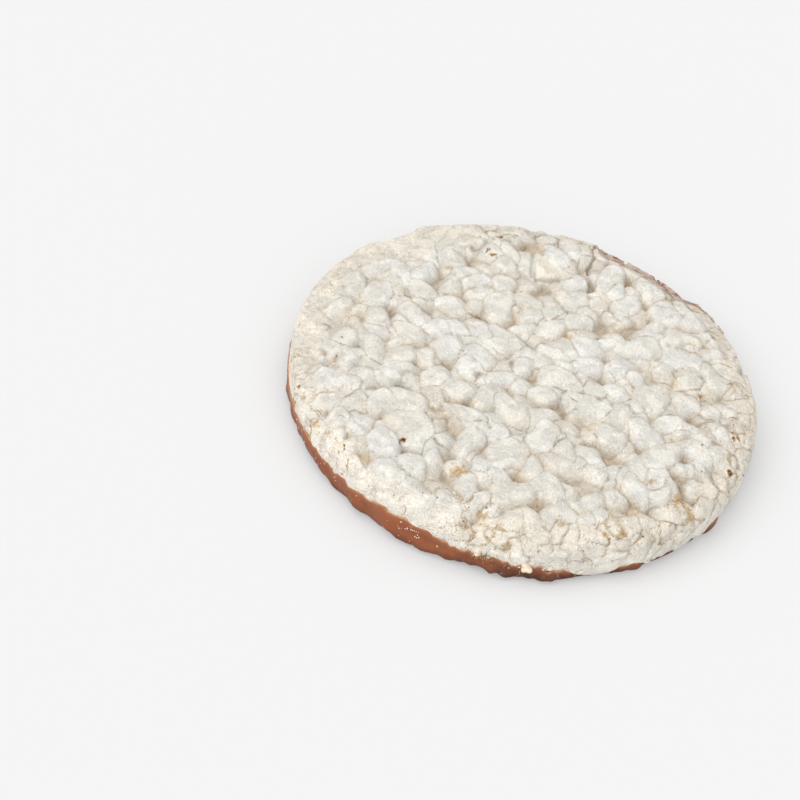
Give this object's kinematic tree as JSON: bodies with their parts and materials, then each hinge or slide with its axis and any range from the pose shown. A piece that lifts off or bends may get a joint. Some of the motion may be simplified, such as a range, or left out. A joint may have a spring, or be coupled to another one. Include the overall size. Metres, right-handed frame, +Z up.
{
  "type": "puffed rice cake",
  "caption": "Round puffed rice cake with a milk chocolate coat under it and up its edge.",
  "frame": {"origin": "centre of the cake's outline, on the surface that it lies on", "axes": "+Z up through the cake, rice side up and chocolate side down; +X to the right as seen from the front"},
  "size_m": [0.09, 0.0896, 0.0104],
  "materials": {
    "puffed_rice": "matt, dry and porous",
    "chocolate": "satin milk chocolate"
  },
  "bodies": {
    "root": {"puffed_rice": "puffed_rice", "chocolate_coat": "chocolate"}
  },
  "joints": []
}
